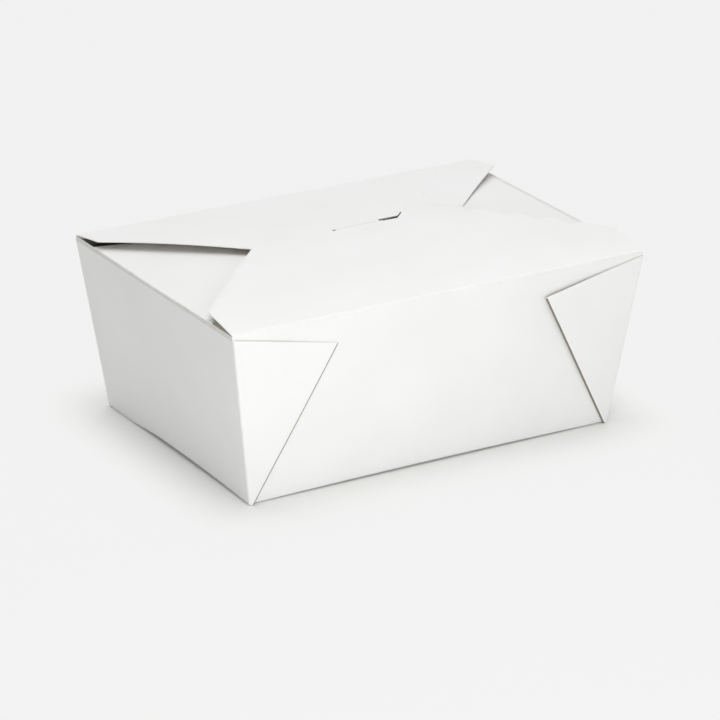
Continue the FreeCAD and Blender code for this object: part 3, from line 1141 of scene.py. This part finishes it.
def away_from_box(tree, most):
    """Rises from nothing at the box's foot to the most a few centimetres away from it."""
    sizes = bpy.context.scene.food_box_sizes
    foot = (sizes.bottom_length / 2, sizes.bottom_width / 2, 0.0)
    zero = (0.0, 0.0, 0.0)
    last = node(tree, "ShaderNodeTexCoord").outputs["Object"]
    for operation, value in (("ABSOLUTE", zero), ("SUBTRACT", foot), ("MAXIMUM", zero)):
        step = node(tree, "ShaderNodeVectorMath", {0: last, 1: value}, operation=operation)
        last = step.outputs["Vector"]
    distance = node(tree, "ShaderNodeVectorMath", {0: last}, operation="LENGTH")
    rise = node(tree, "ShaderNodeMapRange", {
        "Value": distance.outputs["Value"], "From Min": FLOOR_BLEND[0],
        "From Max": FLOOR_BLEND[1], "To Max": most}, interpolation_type="SMOOTHSTEP")
    return rise.outputs["Result"]


def make_floor(studio):
    """A large pale floor, with the plain tone away from the box."""
    mesh = bpy.data.meshes.new("floor")
    sides = ((-1, -1), (1, -1), (1, 1), (-1, 1))
    corners = [(x * FLOOR_REACH, y * FLOOR_REACH, 0) for x, y in sides]
    mesh.from_pydata(corners, [], [(0, 1, 2, 3)])
    floor = bpy.data.objects.new("floor", mesh)
    bpy.context.scene.collection.objects.link(floor)
    tree = empty_tree("floor")
    shader = node(tree, "ShaderNodeBsdfPrincipled", {
        "Base Color": (*studio.floor, 1.0), "Roughness": 1.0, "Specular IOR Level": 0.0})
    plain = node(tree, "ShaderNodeEmission", {"Color": (*studio.background, 1.0)})
    share = node(tree, "ShaderNodeMath", {
        0: plain_to(tree), 1: away_from_box(tree, studio.evenness)}, operation="MULTIPLY")
    mix = node(tree, "ShaderNodeMixShader", {
        "Fac": share.outputs["Value"], 1: shader.outputs["BSDF"], 2: plain.outputs["Emission"]})
    node(tree, "ShaderNodeOutputMaterial", {"Surface": mix.outputs["Shader"]})
    mesh.materials.append(bpy.data.materials["floor"])


class FOODBOX_OT_studio(bpy.types.Operator):
    """Set up floor, light and camera"""

    bl_idname = "foodbox.studio"
    bl_label = "Studio"

    def execute(self, context):
        studio = context.scene.food_box_studio
        make_world(studio)
        make_floor(studio)
        make_lamps(studio)
        make_camera()
        context.scene.view_settings.view_transform = "Standard"
        return {"FINISHED"}


class FOODBOX_PT_panel(bpy.types.Panel):
    """Sidebar panel of the food box"""

    bl_idname = "FOODBOX_PT_panel"
    bl_label = "Takeout food box"
    bl_space_type = "VIEW_3D"
    bl_region_type = "UI"
    bl_category = "Food box"

    def draw(self, context):
        scene = context.scene
        for group in (scene.food_box_sizes, scene.food_box_finish, scene.food_box_studio):
            box = self.layout.box()
            for name in group.__annotations__:
                box.prop(group, name)
        for operator in OPERATORS:
            self.layout.operator(operator.bl_idname)


GROUPS = (FoodBoxSizes, FoodBoxFinish, FoodBoxStudio)
OPERATORS = (
    FOODBOX_OT_studio,
    FOODBOX_OT_finishes,
    FOODBOX_OT_walls,
    FOODBOX_OT_webs,
    FOODBOX_OT_back_flap,
    FOODBOX_OT_end_flaps,
    FOODBOX_OT_front_flap,
)


def register():
    """Make the classes and the scene's settings known."""
    for kind in GROUPS + OPERATORS + (FOODBOX_PT_panel,):
        bpy.utils.register_class(kind)
    bpy.types.Scene.food_box_sizes = PointerProperty(type=FoodBoxSizes)
    bpy.types.Scene.food_box_finish = PointerProperty(type=FoodBoxFinish)
    bpy.types.Scene.food_box_studio = PointerProperty(type=FoodBoxStudio)


def unregister():
    """Take them away again."""
    del bpy.types.Scene.food_box_studio
    del bpy.types.Scene.food_box_finish
    del bpy.types.Scene.food_box_sizes
    for kind in reversed(GROUPS + OPERATORS + (FOODBOX_PT_panel,)):
        bpy.utils.unregister_class(kind)


def main():
    """Build the whole scene."""
    register()
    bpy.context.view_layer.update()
    bpy.ops.foodbox.studio()
    bpy.ops.foodbox.finishes()
    bpy.ops.foodbox.walls()
    bpy.ops.foodbox.webs()
    bpy.ops.foodbox.back_flap()
    bpy.ops.foodbox.end_flaps()
    bpy.ops.foodbox.front_flap()


if __name__ == "__main__":
    main()
